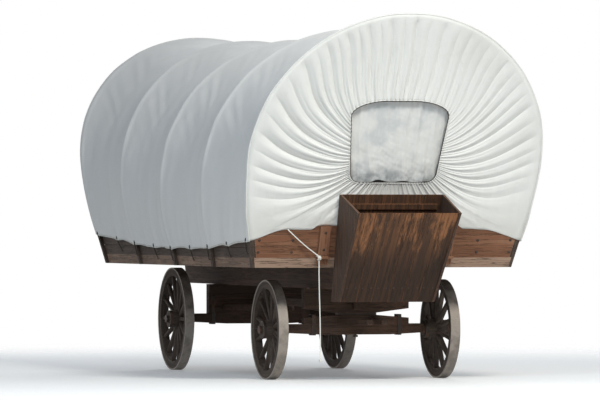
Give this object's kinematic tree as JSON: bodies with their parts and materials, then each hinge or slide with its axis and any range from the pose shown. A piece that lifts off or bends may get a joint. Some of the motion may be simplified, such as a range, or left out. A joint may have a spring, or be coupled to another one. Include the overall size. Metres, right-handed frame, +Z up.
{
  "type": "covered wagon with canvas bonnet",
  "caption": "Covered wagon: wide flared bed with raked ends, canvas bonnet on bent bows, leaning driver's box, steered front gear, dished wooden wheels.",
  "frame": {"origin": "on the ground under the middle of the bed and bonnet", "axes": "+X towards the front with the driver's box, +Y towards the wagon's left side, +Z up"},
  "size_m": [7.7572, 3.108, 3.6908],
  "materials": {
    "dark_wood": "weathered oiled timber",
    "side_wood": "weathered dark boards",
    "gate_wood": "reddish brown boards",
    "bow_wood": "bent ash, bare",
    "canvas": "heavy off-white cotton duck",
    "curtain": "lighter cotton duck",
    "box_wood": "weathered dark boards",
    "gear_wood": "weathered dark timber",
    "wheel_wood": "weathered oak",
    "iron": "forged, brown with age",
    "tyre_iron": "worn iron tyre",
    "rope": "three-strand white rope"
  },
  "bodies": {
    "root": {"bed_frame": "dark_wood", "main_sills": "dark_wood", "cross_bearers": "dark_wood", "floor_boards": "dark_wood", "side_boards_left": "side_wood", "side_boards_right": "side_wood", "side_stakes": "side_wood", "front_gate": "gate_wood", "rear_gate": "gate_wood", "gate_posts": "gate_wood", "bows": "bow_wood", "bonnet": "canvas", "bonnet_front_end": "canvas", "bonnet_rear_end": "canvas", "front_curtain": "curtain", "box_sides": "box_wood", "box_back": "box_wood", "box_front": "box_wood", "box_floor": "box_wood", "box_seat": "box_wood", "front_bolster": "gear_wood", "rear_bolster": "gear_wood", "reach": "gear_wood", "rear_hounds": "gear_wood", "king_pin": "iron", "rear_axle": "gear_wood", "rear_spindles": "iron", "rope_tail": "rope"},
    "front_gear": {"front_axle": "gear_wood", "front_spindles": "iron", "front_hounds": "gear_wood", "sway_bar": "gear_wood", "sand_board": "gear_wood", "rub_plate": "iron"},
    "wheel_front_left": {"hub_front_left": "wheel_wood", "spokes_front_left": "wheel_wood", "felloes_front_left": "wheel_wood", "tyre_front_left": "tyre_iron"},
    "wheel_front_right": {"hub_front_right": "wheel_wood", "spokes_front_right": "wheel_wood", "felloes_front_right": "wheel_wood", "tyre_front_right": "tyre_iron"},
    "wheel_rear_left": {"hub_rear_left": "wheel_wood", "spokes_rear_left": "wheel_wood", "felloes_rear_left": "wheel_wood", "tyre_rear_left": "tyre_iron"},
    "wheel_rear_right": {"hub_rear_right": "wheel_wood", "spokes_rear_right": "wheel_wood", "felloes_rear_right": "wheel_wood", "tyre_rear_right": "tyre_iron"}
  },
  "joints": [
    {"name": "steering", "type": "hinge", "parent": "root", "child": "front_gear", "pos_m": [1.94, 0, 0.6], "axis": [0, 0, 1], "range_deg": [-25, 25]},
    {"name": "spin_front_left", "type": "hinge", "parent": "front_gear", "child": "wheel_front_left", "pos_m": [1.94, 0.918, 0.509], "axis": [0, 1, 0], "continuous": true},
    {"name": "spin_front_right", "type": "hinge", "parent": "front_gear", "child": "wheel_front_right", "pos_m": [1.94, -0.918, 0.509], "axis": [0, 1, 0], "continuous": true},
    {"name": "spin_rear_left", "type": "hinge", "parent": "root", "child": "wheel_rear_left", "pos_m": [-1.6, 0.918, 0.555], "axis": [0, 1, 0], "continuous": true},
    {"name": "spin_rear_right", "type": "hinge", "parent": "root", "child": "wheel_rear_right", "pos_m": [-1.6, -0.918, 0.555], "axis": [0, 1, 0], "continuous": true}
  ]
}
